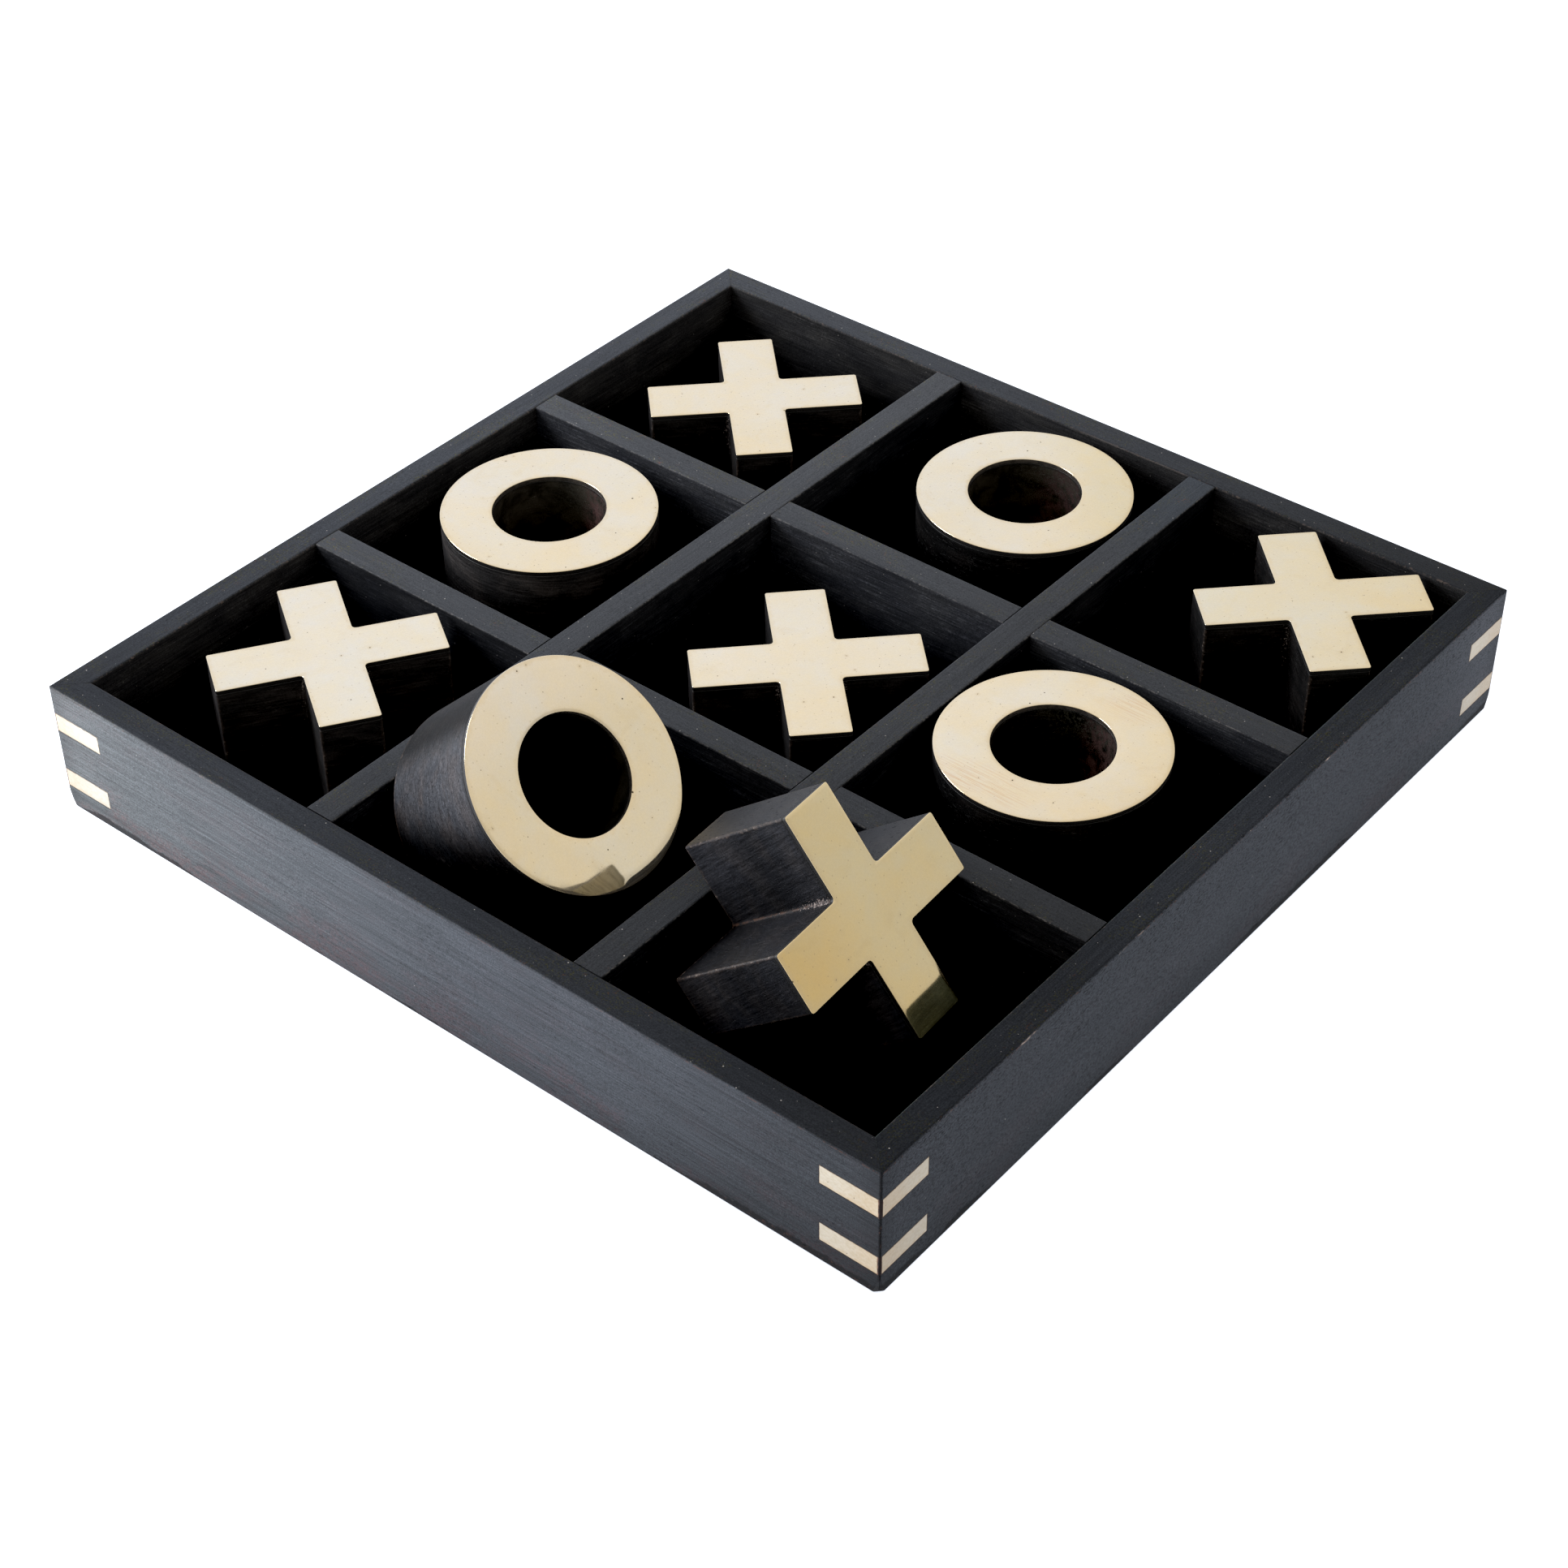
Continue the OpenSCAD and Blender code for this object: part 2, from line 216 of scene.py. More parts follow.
# ---------------------------------------------------------------- wood
def wood(name, loc, rot, seed, style, spec=0.36, pale=(0.030, 0.030, 0.030), side=(0.030, 0.030, 0.030), pitted=0.0, wall_painted_light=(1.0, 4.0, 36.0), tint=(1.0, 1.0, 1.0)):
    """Ebonised wood. rot's first axis is the grain. style is rail, divider, panel, x, x_tall or o.
    spec is its gloss. pale is the tone of the top of a rail at its start, middle and end, and side the same for
    its outer face: the wood's own dark tone with painted light and shade along its length. pitted turns its grain into
    small pits.
    wall_painted_light is how much paler its inner wall is, and between which depths that fades out, and tint its
    colour."""
    t = Tree(name)
    P = t.frame_of((0, 0, 0), Matrix.Identity(3))
    px, py, pz = t.xyz(P)
    G = t.frame_of(loc, rot)
    lx, ly, lz = t.xyz(G)
    G = t.stretch(G, (1, 1, 1), (seed * 173.1, seed * 57.7, seed * 91.3))
    nx, ny, nz = t.normal()

    # figure: broad bands, fibres, pores. Wood of the blocks shows its sanding lines instead
    tall = style == "x_tall"
    key = name[5] + "_" + name[-1]
    if tall:
        style = "x"
        G = t.turn(G, (0, 9, 0))
        k1, k2, k3, k4 = (0.09, 0.09, 0.04), (0.9, 0.9, 0.05), (2.9, 2.9, 0.20), (1.6, 1.6, 0.5)
    elif style in ("x", "o"):
        G = t.turn(G, (1.5, -1, 0))
        k1, k2, k3, k4 = (0.05, 0.05, 0.11), (0.05, 0.05, 0.8), (0.11, 0.11, 2.5), (0.6, 0.6, 1.8)
        if key == "o_2":
            k2, k3 = (0.12, 0.12, 0.7), (0.34, 0.34, 2.6)
    else:
        G = t.turn(G, (0, 0.5, 0.4))
        k1, k2, k3, k4 = (0.010, 0.06, 0.06), (0.010, 0.7, 0.7), (0.040, 2.3, 2.3), (0.50, 3.2, 3.2)
    broad = t.noise(t.stretch(G, k1), 1.0, 3.0, 0.55, 0.6)
    streak = t.noise(t.stretch(G, k2), 1.0, 4.0, 0.6, 0.25)
    fibre = t.noise(t.stretch(G, k3), 1.0, 3.0, 0.62, 0.1)
    pore = t.ramp(t.noise(t.stretch(G, k4, (11, 5, 3)), 1.0, 0.0, 0.5), 0.70, 0.79)
    fine = t.noise(t.stretch(G, (2.4, 2.4, 2.4)), 1.0, 2.0, 0.75)

    # scattered pale specks: dust and tiny chips
    sd, sc = t.cells(t.vec(lx, t.add(ly, lz, seed * 37.3), 0.0), 0.27, flat=True)
    scx = t.xyz(sc)
    size = t.lerp(t.mul(scx[1], scx[1], scx[1]), 0.014, 0.052)
    speck = t.mul(t.ramp(t.sub(sd, size), -0.014, 0.012, 1.0, 0.0), t.ramp(scx[0], 0.68, 0.71))

    wob = t.noise(t.stretch(G, (0.22, 0.5, 0.5), (3, 9, 1)), 1.0, 3.0, 0.6)
    nick = t.noise(t.stretch(G, (0.9, 0.9, 0.9), (7, 2, 5)), 1.0, 3.0, 0.65)
    patch = t.noise(t.stretch(G, (0.055, 0.12, 0.12), (1, 4, 8)), 1.0, 4.0, 0.6, 0.5)

    if style == "rail":
        ax, ay = t.absv(px), t.absv(py)
        m = t.big(ax, ay)
        top = t.ramp(nz, 0.6, 0.9)
        outer = t.mul(t.ramp(m, 151.0, 152.0), t.inv(top))
        inner = t.mul(t.inv(t.ramp(m, 147.0, 151.0)), t.inv(top))
        d_top, d_out = t.sub(H, pz), t.sub(W2, m)
        e_low = t.hyp(d_out, pz)
        e_corner = t.hyp(t.sub(W2, ax), t.sub(W2, ay))
        e_in = t.hyp(t.sub(m, W2 - RAIL), d_top)
        # the line where the rounded top edge meets the outer face
        e_line = t.add(t.absv(t.sub(d_top, 0.55)), t.mul(d_out, 3.0))
        wall_top = d_top
    elif style == "divider":
        across = py if "cross" in name else px
        a = t.absv(t.sub(t.absv(across), DIV_C))
        top = t.ramp(nz, 0.6, 0.9)
        inner, outer = t.inv(top), 0.0
        d_top = t.sub(H, pz)
        e_in = t.hyp(t.sub(DIV_T / 2, a), d_top)
        wall_top = d_top
    elif style == "panel":
        top = t.ramp(nz, 0.6, 0.9)
        inner, outer = top, 0.0
    elif style == "x":
        a, b = t.big(t.absv(lx), t.absv(ly)), t.small(t.absv(lx), t.absv(ly))
        d_out = t.hyp(t.sub(X_HALF, a), t.sub(X_ARM, b))
        d_in = t.hyp(t.sub(a, X_ARM), t.sub(X_ARM, b))
        wall = t.small(t.absv(t.sub(X_HALF, a)), t.absv(t.sub(X_ARM, b)))
        e_low = t.hyp(wall, lz)
    else:
        r = t.hyp(lx, ly)
        hole = t.ramp(r, 20.0, 24.0, 1.0, 0.0)
        wall = t.small(t.absv(t.sub(O_R, r)), t.absv(t.sub(r, O_HOLE)))
        e_low = t.hyp(wall, lz)

    # inner walls are scored lightly along the grain
    if style in ("rail", "divider"):
        scored = t.ramp(t.noise(t.stretch(G, (0.09, 3.4, 3.4), (6, 6, 2)), 1.0, 4.0, 0.75, 0.1), 0.50, 0.68)
        scored = t.lerp(scored, *((0.86, t.lerp(t.ramp(nick, 0.40, 0.60), 1.1, 1.8)) if style == "rail" else (0.78, t.lerp(t.ramp(nick, 0.40, 0.60), 1.1, 2.5))))

    # colour
    if style == "rail":
        # the top: the wood's own dark tone, with painted light and shade that changes along the rail
        g = t.lerp(t.ramp(lx, -150.0, 0.0, smooth=False), pale[0], pale[1])
        g = t.lerp(t.ramp(lx, 0.0, 150.0, smooth=False), g, pale[2])
        g = t.mul(g, t.lerp(broad, 0.72, 1.28))
        base = t.mix(1.0, (0.91, 1.0, 1.19), t.vec(g, g, g), "MULTIPLY")
        # the outer face: painted light and shade along the rail, with its cool tint, paler at the front's left end, and
        # painted shade near the lower edge and the upright corner
        g = t.lerp(t.ramp(lx, -170.0, 0.0, smooth=False), side[0], side[1])
        g = t.lerp(t.ramp(lx, 90.0 if pitted else 45.0, 165.0), g, side[2])
        g = t.mul(g, t.lerp(patch, 0.86, 1.14), t.ramp(e_low, 0.0, 16.0, 0.76, 1.0), t.ramp(e_corner, 0.0, 9.0, 0.74, 1.0))
        # painted shade: darker towards the bottom of the face, more towards one end
        g = t.mul(g, t.sub(1.0, t.mul(t.ramp(pz, 40.0, 4.0, smooth=False), t.ramp(lx, -100.0, 150.0, *((0.10, 0.02) if pitted else (0.0, 0.24)), smooth=False))))
        cool = (0.90, 0.99, 1.17)
        if name.endswith("front"):
            cool = t.mix(t.ramp(lx, -150.0, 20.0, smooth=False), (0.96, 1.03, 1.06), (0.90, 0.99, 1.15))
        sidec = t.mix(1.0, cool, t.vec(g, g, g), "MULTIPLY")
        hue = t.mul(t.ramp(t.noise(t.stretch(G, (0.03, 0.09, 0.09), (5, 5, 5)), 1.0, 4.0, 0.65), 0.44, 0.60), t.ramp(e_low, 2.0, 24.0, 1.0, 0.20))
        hue = t.mul(hue, t.ramp(t.noise(t.stretch(G, (0.5, 1.1, 1.1), (1, 9, 5)), 1.0, 3.0, 0.7), 0.36, 0.60))
        sidec = t.mix(t.mul(hue, 0.4) if pitted else hue, sidec, t.mix(1.0, sidec, (1.30, 0.90, 0.88), "MULTIPLY"))
        base = t.mix(outer, base, sidec)
        # the inner wall: paler or darker for each wall, and darker with depth towards the floor: painted light and
        # shade
        k = wall_painted_light[0]
        wallc = t.mix(t.ramp(patch, 0.35, 0.75), [k * c * w for c, w in zip((0.0105, 0.0105, 0.0114), tint)], [k * c * w for c, w in zip((0.0185, 0.0181, 0.0182), tint)])
        wallc = t.mix(1.0, wallc, t.vec(scored, scored, scored), "MULTIPLY")
        wallc = t.mix(t.ramp(wall_top, wall_painted_light[1], wall_painted_light[2]), wallc, (0.0022, 0.0022, 0.0024))
        base = t.mix(inner, base, wallc)
    elif style == "divider":
        # the top: the wood's own dark tone, with painted light and shade that changes along the divider
        g = t.lerp(t.ramp(t.add(t.mul(px, -0.8), t.mul(py, 0.5)), -150.0, 160.0, smooth=False), pale[0], pale[1])
        g = t.mul(g, t.lerp(broad, 0.72, 1.28))
        # painted shadow over its front end, beside the leaning ring
        if "long_left" in name:
            g = t.mul(g, t.ramp(py, -124.0, -100.0, 0.81, 1.04))
        base = t.mix(1.0, (0.93, 1.0, 1.14), t.vec(g, g, g), "MULTIPLY")
        # painted shade: darker and cooler at its back end
        if "long_right" in name:
            base = t.mix(t.ramp(py, 85.0, 132.0), base, t.mix(1.0, base, (0.79, 0.87, 0.95), "MULTIPLY"))
        # the inner wall: paler or darker for each divider, and darker with depth towards the floor: painted light and
        # shade
        k = wall_painted_light[0]
        wallc = t.mix(t.ramp(patch, 0.35, 0.75), [k * c * w for c, w in zip((0.0105, 0.0105, 0.0114), tint)], [k * c * w for c, w in zip((0.0185, 0.0181, 0.0182), tint)])
        wallc = t.mix(1.0, wallc, t.vec(scored, scored, scored), "MULTIPLY")
        wallc = t.mix(t.ramp(wall_top, wall_painted_light[1], wall_painted_light[2]), wallc, (0.0022, 0.0022, 0.0024))
        if "long_right" in name:
            # painted light: its wall facing one way is much paler than the other
            k = t.ramp(nx, -0.5, 0.5, 3.5, 1.0)
            wallc = t.mix(1.0, wallc, t.vec(k, k, k), "MULTIPLY")
        if "cross_back" in name:
            # painted shade: darker down its wall in the right-hand cell
            k = t.lerp(t.ramp(px, 40.0, 60.0), 1.0, t.ramp(d_top, 1.5, 16.0, 0.85, 0.24))
            wallc = t.mix(1.0, wallc, t.vec(k, k, k), "MULTIPLY")
        wallc = t.mix(1.0, wallc, (0.95, 1.0, 1.10), "MULTIPLY")
        base = t.mix(inner, base, wallc)
    elif style == "panel":
        # near black: its own black, made darker still as painted shade for the floor of the deep cells
        base = t.mix(broad, (0.0010, 0.0010, 0.0012), (0.0020, 0.0020, 0.0022))
    else:
        if name.endswith("o_block_2"):
            base = t.mix(t.ramp(patch, 0.40, 0.72), (0.0490, 0.0512, 0.0585), (0.0680, 0.0612, 0.0620))
            # painted sheen over a side much paler than the other blocks: paler only where it faces the light, by the
            # angle round the ring, and further round near the plate
            phi = t.mul(t.math("ARCTAN2", t.mul(ly, -1.0), t.mul(lx, -1.0)), 57.2958)
            psi = t.sub(phi, t.add(56.0, t.mul(lz, 0.72)))
            sheen = t.mul(t.ramp(phi, 28.0, 48.0, 0.16, 1.0), t.ramp(phi, 4.0, 22.0, 2.2, 1.0), t.ramp(psi, -8.0, 18.0, 1.0, 0.14), t.ramp(psi, 18.0, 32.0, 1.0, 0.3))
            base = t.mix(1.0, base, t.vec(sheen, sheen, sheen), "MULTIPLY")
        elif tall:
            base = t.mix(t.ramp(patch, 0.40, 0.72), (0.0125, 0.0130, 0.0158), (0.0205, 0.0192, 0.0205))
            # painted light and shade: paler near the underside on the flank in front, darker there on the flank beside
            # the divider
            ry, rx = rot @ Vector((0, -1, 0)), rot @ Vector((-1, 0, 0))
            fl = t.ramp(t.add(t.mul(nx, ry.x), t.mul(ny, ry.y), t.mul(nz, ry.z)), 0.6, 0.8)
            fd = t.ramp(t.add(t.mul(nx, rx.x), t.mul(ny, rx.y), t.mul(nz, rx.z)), 0.6, 0.8)
            k = t.mul(t.lerp(fl, 1.0, t.ramp(lz, 6.0, 26.0, 2.4, 1.1)), t.lerp(fd, 1.0, t.ramp(lz, 6.0, 26.0, 0.55, 0.95)))
            # painted shade low on the front flank beside the inner corner, and painted light along its top
            k = t.mul(k, t.sub(1.0, t.mul(fl, t.ramp(d_in, 5.0, 17.0, 0.45, 0.0), t.ramp(lz, 22.0, 34.0, 1.0, 0.0))))
            k = t.mul(k, t.add(1.0, t.mul(fl, t.ramp(lz, 24.0, 38.0, 0.0, 0.38), t.ramp(a, 33.2, 34.2, 1.0, 0.0))))
            base = t.mix(1.0, base, t.vec(k, k, k), "MULTIPLY")
        else:
            # painted light and shade: each lying piece's sides are set paler or darker on their own
            k = {"x_1": 1.5, "o_1": 2.7, "x_4": 0.7, "o_4": 0.5, "o_3": 0.45}.get(key, 1.0)
            base = t.mix(t.ramp(patch, 0.40, 0.72), (0.0100 * k, 0.0096 * k, 0.0098 * k), (0.0225 * k, 0.0200 * k, 0.0192 * k))
            if style == "o":
                # painted shade: darker towards the bottom and towards the back right
                f = t.mul(t.ramp(lz, 26.0, 38.0, 0.38, 1.0), t.ramp(t.add(t.mul(lx, 0.77), t.mul(ly, 0.63)), -8.0, 26.0, 1.0, 0.45))
                base = t.mix(1.0, base, t.vec(f, f, f), "MULTIPLY")
    if style in ("x", "o"):
        # the underside is bare sanded wood
        up = rot @ Vector((0, 0, 1))
        under = t.ramp(t.add(t.mul(nx, up.x), t.mul(ny, up.y), t.mul(nz, up.z)), -0.6, -0.9)
        bare = t.mix(t.ramp(patch, 0.35, 0.70), (0.385, 0.365, 0.290), (0.520, 0.480, 0.390))
        bare = t.mix(t.ramp(t.noise(t.stretch(G, (0.05, 1.1, 0.3), (4, 4, 4)), 1.0, 3.0, 0.6), 0.44, 0.66), bare, (0.205, 0.190, 0.148))

    # streaks darken, fibres lighten a little
    if style in ("rail", "divider"):
        lines = t.mul(t.lerp(streak, 0.80, 1.20), t.lerp(t.ramp(fibre, 0.28, 0.72, smooth=False), 0.60, 1.40))
        if pitted:
            pits = t.noise(t.stretch(G, (1.15, 1.9, 1.9), (8, 8, 8)), 1.0, 2.0, 0.7)
            tick = t.ramp(t.noise(t.stretch(G, (0.75, 2.8, 2.8), (2, 5, 8)), 1.0, 1.0, 0.5), 0.60, 0.67)
            tick = t.sub(1.0, t.mul(tick, t.ramp(d_top, 4.0, 24.0, 0.72, 0.36)))
            lines = t.lerp(t.mul(outer, pitted), lines, t.mul(t.lerp(t.ramp(pits, 0.30, 0.50, smooth=False), 0.46, 1.16), tick))
        lines = t.lerp(t.mul(top, 0.45), lines, 1.0)
        tone = t.mul(lines, t.lerp(t.ramp(fine, 0.28, 0.72, smooth=False), 0.52, 1.48))
        base = t.mix(1.0, base, t.vec(tone, tone, tone), "MULTIPLY")
        base = t.mix(t.mul(pore, t.lerp(top, 0.24 * (1.0 - pitted), 0.12)), base, (0.0025, 0.0025, 0.0028))
        # flecks of dye and dust on the tops, in drifts
        fleck = t.mul(t.ramp(t.noise(t.stretch(G, (1.5, 1.5, 1.5), (6, 1, 2)), 1.0, 2.0, 0.7), 0.54, 0.64),
                      t.ramp(t.noise(t.stretch(G, (0.05, 0.11, 0.11), (2, 8, 8)), 1.0, 3.0, 0.6), 0.48, 0.62), top)
        rust = t.ramp(t.noise(t.stretch(G, (0.35, 0.35, 0.35), (3, 3, 7)), 1.0, 2.0, 0.6), 0.58, 0.66)
        dye = t.mix(1.0, base, t.mix(rust, (1.45, 1.32, 0.66), (2.1, 1.0, 0.70)), "MULTIPLY")
        base = t.mix(fleck, base, t.mix(1.0, dye, (0.004, 0.0035, 0.001), "ADD"))
    else:
        tone = t.mul(t.lerp(streak, 0.50, 1.50), t.lerp(t.ramp(fibre, 0.25, 0.75, smooth=False), *((0.48, 1.56) if key == "o_2" else (0.25, 1.80))), t.lerp(t.ramp(fine, 0.25, 0.75, smooth=False), 0.50, 1.55))
        if key == "o_2":
            grit = t.noise(t.stretch(G, (1.0, 1.0, 1.5), (4, 7, 1)), 1.0, 2.0, 0.7)
            tone = t.mul(tone, t.lerp(t.ramp(grit, 0.30, 0.70, smooth=False), 0.62, 1.38))
        base = t.mix(1.0, base, t.vec(tone, tone, tone), "MULTIPLY")
        base = t.mix(t.mul(pore, 0.15), base, (0.0025, 0.0025, 0.0028))

    # rubbed edges show the brown wood; the pale bits along them are partly chips, partly a painted highlight on the
    # edge
    if style == "rail":
        red = t.mul(t.ramp(e_line, 0.08, 0.42, 1.0, 0.0), t.ramp(t.add(t.mul(wob, 0.45), t.mul(nick, 0.55)), 0.50, 0.62), t.inv(top))
        base = t.mix(t.mul(red, 0.48), base, srgb("74503f"))
        chip_and_glint = t.mul(t.ramp(t.add(e_line, t.mul(t.sub(nick, 0.5), 1.2)), 0.10, 0.70, 1.0, 0.0), t.ramp(patch, 0.60, 0.66))
        base = t.mix(t.mul(chip_and_glint, 0.7), base, srgb("b9a79c"))
        # painted shade along the lower edge, ragged, with brown wear in places
        low = t.mul(t.ramp(t.noise(t.stretch(G, (0.018, 0.03, 0.03), (8, 1, 1)), 1.0, 2.0, 0.5), 0.44, 0.56), 2.3)
        low = t.ramp(t.sub(t.add(e_low, t.mul(t.sub(wob, 0.5), 2.6), t.mul(t.sub(nick, 0.5), 1.6)), low), 0.35, 1.3, 1.0, 0.0)
        base = t.mix(t.mul(low, 0.8), base, t.mix(t.ramp(nick, 0.60, 0.66), (0.0040, 0.0040, 0.0042), srgb("3a2620")))
        # painted dark reflection down the upright corner, with brown wear in places
        corner_shade_and_wear = t.ramp(t.add(e_corner, t.mul(t.sub(wob, 0.5), 0.5)), 0.30, 0.75, 1.0, 0.0)
        base = t.mix(t.mul(corner_shade_and_wear, 0.85), base, t.mix(t.ramp(nick, 0.58, 0.66), (0.0040, 0.0040, 0.0042), srgb("4a332c")))
        # a glue line round each strip let into the corners
        along = t.small(ax, ay)
        dx = t.big(t.sub(INLAY_IN, along), 0.0)
        dz = t.small(t.big(t.sub(t.absv(t.sub(pz, INLAY_Z[0] + INLAY_H2)), INLAY_H2), 0.0),
                     t.big(t.sub(t.absv(t.sub(pz, INLAY_Z[1] + INLAY_H2)), INLAY_H2), 0.0))
        glue = t.mul(t.ramp(t.add(t.hyp(dx, dz), t.mul(t.sub(nick, 0.5), 0.6)), 0.02, 0.26, 1.0, 0.0), outer)
        base = t.mix(t.mul(glue, t.ramp(e_corner, 0.5, 1.1, 0.30, 0.7)), base, srgb("38241b"))
        # a pale worn line on the corner between the ends of two strips
        worn = t.mul(t.ramp(t.absv(t.sub(ax, W2 - 0.72)), 0.03, 0.20, 1.0, 0.0), t.ramp(dz, 0.0, 0.3, 1.0, 0.0), t.ramp(along, W2 - 1.2, W2 - 0.9), t.ramp(nick, 0.38, 0.56))
        base = t.mix(t.mul(worn, 0.7), base, srgb("9a7466"))
    if style in ("rail", "divider"):
        if style == "rail":
            rub = t.mul(t.ramp(t.add(e_in, t.mul(t.sub(wob, 0.5), 1.2)), 0.15, 0.8, 1.0, 0.0), t.ramp(nick, 0.50, 0.66))
            base = t.mix(t.mul(rub, 0.5), base, srgb("70625a"))
            if name.endswith("back"):
                rub = t.mul(t.ramp(t.add(e_in, t.mul(t.sub(nick, 0.5), 0.8)), 0.12, 0.46, 1.0, 0.0), t.ramp(lx, -44.5, -42.0), t.ramp(lx, -12.0, 2.0, 1.0, 0.0), t.ramp(nick, 0.36, 0.50))
                base = t.mix(t.mul(rub, 0.55), base, srgb("a8998f"))
        else:
            # a pale grey broken line along its top edges: painted highlight
            rub = t.mul(t.ramp(t.add(e_in, t.mul(t.sub(wob, 0.5), 0.7)), 0.10, 0.45, 1.0, 0.0), t.ramp(nick, 0.42, 0.58))
            base = t.mix(t.mul(rub, 0.42), base, srgb("85817f"))
        dot = t.mul(speck, t.big(t.big(top, t.mul(outer, t.ramp(scx[2], 0.93, 0.95))) if style == "rail" else top, t.mul(inner, 0.45)))
        base = t.mix(t.mul(dot, 0.72), base, srgb("bdb8b3"))
    if style in ("x", "o"):
        rub = t.ramp(t.add(e_low, t.mul(t.sub(wob, 0.5), 2.4)), 0.2, 1.0, 1.0, 0.0)
        if style == "x":
            rub = t.big(rub, t.ramp(t.add(t.small(d_out, t.add(d_in, 0.6)), t.mul(t.sub(wob, 0.5), 1.8)), 0.25, 1.0, 1.0, 0.0))
        base = t.mix(t.mul(rub, t.ramp(nick, 0.30, 0.68), 0.34 if PLACES[key][1][2][2] < 0.9 else 0.24), base, srgb("77665c"))
        # pale bits on the rubbed edges: partly chips, partly a painted highlight
        chip_and_glint = t.mul(rub, t.ramp(nick, 0.60, 0.66), 0.5)
        base = t.mix(t.mul(chip_and_glint, 0.8), base, srgb("a89b92"))
        # dust and filler: thick in the inner corners near the plate, thin elsewhere
        near = t.ramp(t.sub(BLOCK_H, lz), 0.0, 26.0, 1.0, 0.15)
        if style == "x":
            near = t.mul(near, t.ramp(d_in, 0.3, 3.2, 1.0, 0.0))
        else:
            near = t.mul(near, t.mul(hole, 0.35))
        gn = t.noise(t.stretch(G, (1.6, 1.6, 1.6), (2, 2, 9)), 1.0, 3.0, 0.7)
        dust = t.ramp(t.add(gn, t.mul(near, 0.25 if tall else 0.17)), 0.72, 0.78)
        base = t.mix(t.mul(dust, 0.8), base, srgb("b0a29c"))
        if tall:
            seam = t.mul(t.ramp(t.add(d_in, t.mul(t.sub(wob, 0.5), 0.9)), 0.25, 0.75, 1.0, 0.0), t.ramp(nick, 0.34, 0.52))
            base = t.mix(t.mul(seam, 0.75), base, srgb("6a4c3c"))
        if style == "o":
            # the inside of the hole: the wood's dark tone, paler in two of the rings as painted light
            k = 2.2 if key in ("o_1", "o_3") else 1.0
            base = t.mix(t.mul(hole, 0.85), base, t.mix(t.ramp(patch, 0.42, 0.66), (0.0058 * k, 0.0054 * k, 0.0044 * k), (0.0185 * k, 0.0162 * k, 0.0122 * k)))
            if key != "o_2":
                # painted light: maroon wood and pale grit only on the side of the hole facing the light, near its top
                lit = t.mul(t.add(t.mul(lx, 0.78), t.mul(ly, 0.62)), 1.0 / O_HOLE)
                k = {"o_1": 1.0, "o_3": 0.55}.get(key, 0.75)
                red = t.mix(t.ramp(lz, 24.0, 39.0), (0.155 * k, 0.084 * k, 0.078 * k), (0.078 * k, 0.048 * k, 0.045 * k))
                thin = t.ramp(t.noise(t.stretch(G, (0.30, 0.30, 0.22), (4, 2, 6)), 1.0, 5.0, 0.70, 0.1), 0.38, 0.60)
                base = t.mix(t.mul(hole, t.ramp(lit, 0.0 if key == "o_3" else 0.42, 0.80), thin), base, red)
                grit = t.ramp(t.noise(t.stretch(G, (1.1, 1.1, 1.1), (1, 6, 3)), 1.0, 3.0, 0.7), 0.50, 0.60)
                base = t.mix(t.mul(hole, grit, t.ramp(lit, -0.3, 0.45), t.ramp(lz, 24.0, 38.0), 0.6), base, (0.052, 0.050, 0.041))
        # the dyed collar just below the plate
        collar = t.ramp(t.add(t.sub(BLOCK_H, lz), t.mul(t.sub(wob, 0.5), 1.6)), 0.6, 1.0, 1.0, 0.0)
        base = t.mix(t.mul(collar, 0.5), base, (0.012, 0.012, 0.0125))
    # hairline scratches
    sa = t.noise(t.stretch(t.turn(G, (20, 31, 24 + 31 * seed)), (0.02, 1.6, 0.5)), 1.0, 2.0, 0.6)
    sm = t.noise(t.stretch(G, (0.08, 0.08, 0.08), (9, 3, 1)), 1.0, 2.0, 0.5)
    scratch = t.mul(t.ramp(t.absv(t.sub(sa, 0.5)), 0.0, 0.006, 1.0, 0.0), t.ramp(sm, 0.56, 0.66))
    if style in ("x", "o"):
        base = t.mix(t.mul(scratch, 0.22), base, srgb("8f8a88"))

    if style in ("x", "o"):
        base = t.mix(under, base, bare)
    t.set("Base Color", base)
    if style == "panel":
        rough = t.lerp(fibre, 0.75, 0.95)
    else:
        rough = t.add(t.lerp(fibre, *((0.22, 0.40) if name.endswith("o_block_2") else (0.34, 0.56))), t.mul(t.sub(broad, 0.5), 0.12), t.mul(t.sub(fine, 0.5), 0.2))
        rough = t.lerp(pore, rough, 0.8)
        if name.endswith("o_block_2"):
            rough = t.lerp(t.ramp(phi, 26.0, 54.0, 1.0, 0.0), rough, 0.74)
        if style in ("rail", "divider"):
            rough = t.lerp(inner, rough, 0.62)
    t.set("Roughness", rough)
    t.bsdf.inputs["Specular IOR Level"].default_value = spec

    h = t.add(t.mul(fibre, 0.55), t.mul(fine, 0.35), t.mul(streak, 0.3), t.mul(pore, -0.9))
    t.set("Normal", t.bump(h, 0.045 if style in ("rail", "divider", "panel") else 0.06, 0.8))
    return t.mat


